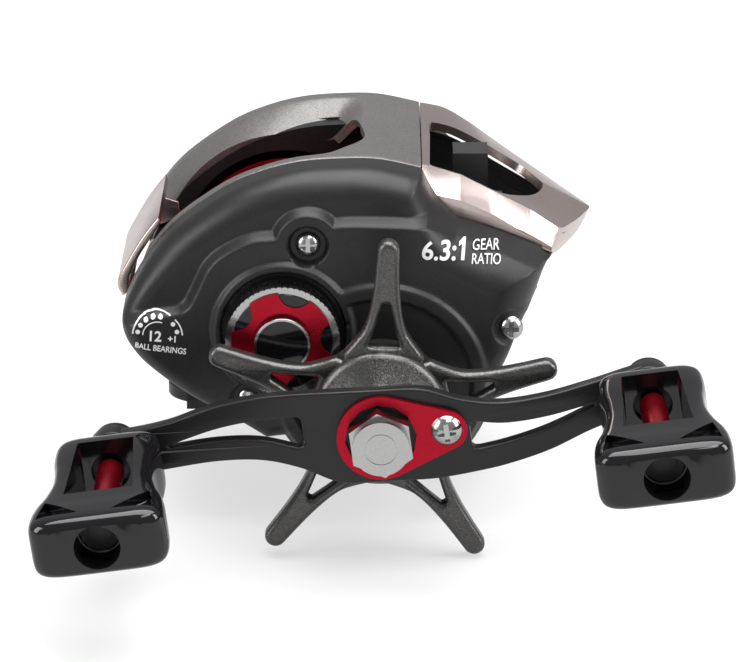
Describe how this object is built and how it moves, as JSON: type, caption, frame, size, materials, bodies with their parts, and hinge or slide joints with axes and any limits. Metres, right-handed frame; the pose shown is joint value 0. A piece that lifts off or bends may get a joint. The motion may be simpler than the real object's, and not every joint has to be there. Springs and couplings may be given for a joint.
{
  "type": "baitcasting reel",
  "caption": "Low-profile baitcasting fishing reel with a star drag, a swept double handle with paddle knobs, a level wind and a thumb bar clutch.",
  "frame": {"origin": "middle of the underside of the reel foot, where it sits on the rod", "axes": "+X towards the rod tip, +Z away from the rod seat, -Y towards the handle"},
  "size_m": [0.1186, 0.1177, 0.066],
  "materials": {
    "matte_black_cover": "fine satin graphite shell, black",
    "grey_paint": "metallic dark grey paint",
    "champagne": "champagne plating",
    "frame_black": "black anodised",
    "dark_plastic": "satin black",
    "gloss_black": "high gloss black",
    "anodised_black": "satin black anodised",
    "red_anodised": "red anodised",
    "star_grey": "sparkling metallic dark grey",
    "steel": "ground steel",
    "nickel": "bright nickel plating",
    "brass": "machined brass",
    "white_plastic": "natural acetal",
    "carbon_washer": "woven carbon drag disc",
    "rubber": "black rubber"
  },
  "bodies": {
    "reel_body": {"frame": "frame_black", "reel_foot": "frame_black", "foot_rivets": "steel", "handle_side_cover": "matte_black_cover", "cover_screws": "nickel", "thumb_rest_hood": "grey_paint", "nose_cover": "champagne", "palm_side_cover": "matte_black_cover", "palm_cover_screws": "nickel", "palm_spool_bearing": "steel", "pinion_bearing": "steel", "spool_tail_bearing": "steel", "drive_bearing": "steel", "one_way_clutch": "steel", "clutch_spring_pins": "steel", "brake_plate": "steel", "guide_rod": "nickel", "worm_guard": "dark_plastic", "worm_bushes": "dark_plastic", "tension_shim": "brass"},
    "drive_train": {"drive_shaft": "steel", "main_gear": "brass", "drag_washers": "carbon_washer", "pressure_plate": "steel", "guide_drive_gear": "white_plastic", "ratchet_wheel": "steel", "clutch_sleeve": "steel", "star_springs": "steel", "handle_arm": "anodised_black", "handle_nut": "nickel", "nut_retainer": "red_anodised", "retainer_screw": "nickel", "knob_spindles": "anodised_black", "knob_sleeves": "red_anodised"},
    "star_drag": {"star_wheel": "star_grey", "star_nut": "brass"},
    "rear_knob": {"rear_knob": "gloss_black", "rear_knob_bushes": "dark_plastic"},
    "front_knob": {"front_knob": "gloss_black", "front_knob_bushes": "dark_plastic"},
    "spool": {"spool": "red_anodised", "spool_shaft": "steel", "spool_pin": "steel"},
    "clutch_yoke": {"clutch_yoke": "steel"},
    "pinion": {"pinion": "brass"},
    "thumb_bar": {"thumb_bar": "champagne", "thumb_bar_pins": "steel"},
    "line_guide": {"line_guide": "dark_plastic", "line_eye": "nickel", "guide_pawl": "steel", "pawl_cap": "dark_plastic"},
    "worm": {"worm_shaft": "steel", "worm_gear": "white_plastic"},
    "tension_knob": {"tension_knob": "nickel", "tension_insert": "red_anodised", "tension_cap": "gloss_black", "tension_o_ring": "rubber"},
    "brake_dial": {"brake_dial": "dark_plastic"}
  },
  "joints": [
    {"name": "handle_turn", "type": "hinge", "parent": "reel_body", "child": "drive_train", "pos_m": [0.009, 0, 0.012], "axis": [0, 1, 0], "continuous": true},
    {"name": "star_turn", "type": "hinge", "parent": "drive_train", "child": "star_drag", "pos_m": [0.009, 0, 0.012], "axis": [0, 1, 0], "range_deg": [-270, 180]},
    {"name": "rear_knob_spin", "type": "hinge", "parent": "drive_train", "child": "rear_knob", "pos_m": [-0.03809, 0, 0.0058], "axis": [0, 1, 0], "continuous": true},
    {"name": "front_knob_spin", "type": "hinge", "parent": "drive_train", "child": "front_knob", "pos_m": [0.05609, 0, 0.0182], "axis": [0, 1, 0], "continuous": true},
    {"name": "spool_turn", "type": "hinge", "parent": "reel_body", "child": "spool", "pos_m": [-0.0085, 0, 0.0225], "axis": [0, 1, 0], "continuous": true},
    {"name": "yoke_lift", "type": "slide", "parent": "reel_body", "child": "clutch_yoke", "axis": [0, -1, 0], "range_m": [0, 0.0018]},
    {"name": "pinion_turn", "type": "hinge", "parent": "clutch_yoke", "child": "pinion", "pos_m": [-0.0085, 0, 0.0225], "axis": [0, 1, 0], "continuous": true},
    {"name": "thumb_press", "type": "slide", "parent": "reel_body", "child": "thumb_bar", "axis": [-0.454, 0, -0.891], "range_m": [0, 0.004], "stiffness_N_per_m": 400, "springref_m": -0.002},
    {"name": "guide_slide", "type": "slide", "parent": "reel_body", "child": "line_guide", "axis": [0, 1, 0], "range_m": [-0.008, 0.008]},
    {"name": "worm_turn", "type": "hinge", "parent": "reel_body", "child": "worm", "pos_m": [0.0245, 0, 0.027], "axis": [0, 1, 0], "continuous": true},
    {"name": "tension_turn", "type": "hinge", "parent": "reel_body", "child": "tension_knob", "pos_m": [-0.0085, 0, 0.0225], "axis": [0, 1, 0], "range_deg": [-360, 180]},
    {"name": "brake_dial_turn", "type": "hinge", "parent": "reel_body", "child": "brake_dial", "pos_m": [-0.0085, 0, 0.0225], "axis": [0, 1, 0], "range_deg": [0, 300]}
  ],
  "couplings": [
    {"joint": "spool_turn", "follows": "handle_turn", "ratio": -6.3},
    {"joint": "pinion_turn", "follows": "handle_turn", "ratio": -6.3},
    {"joint": "worm_turn", "follows": "handle_turn", "ratio": -2.5},
    {"joint": "yoke_lift", "follows": "thumb_press", "ratio": 0.45}
  ]
}
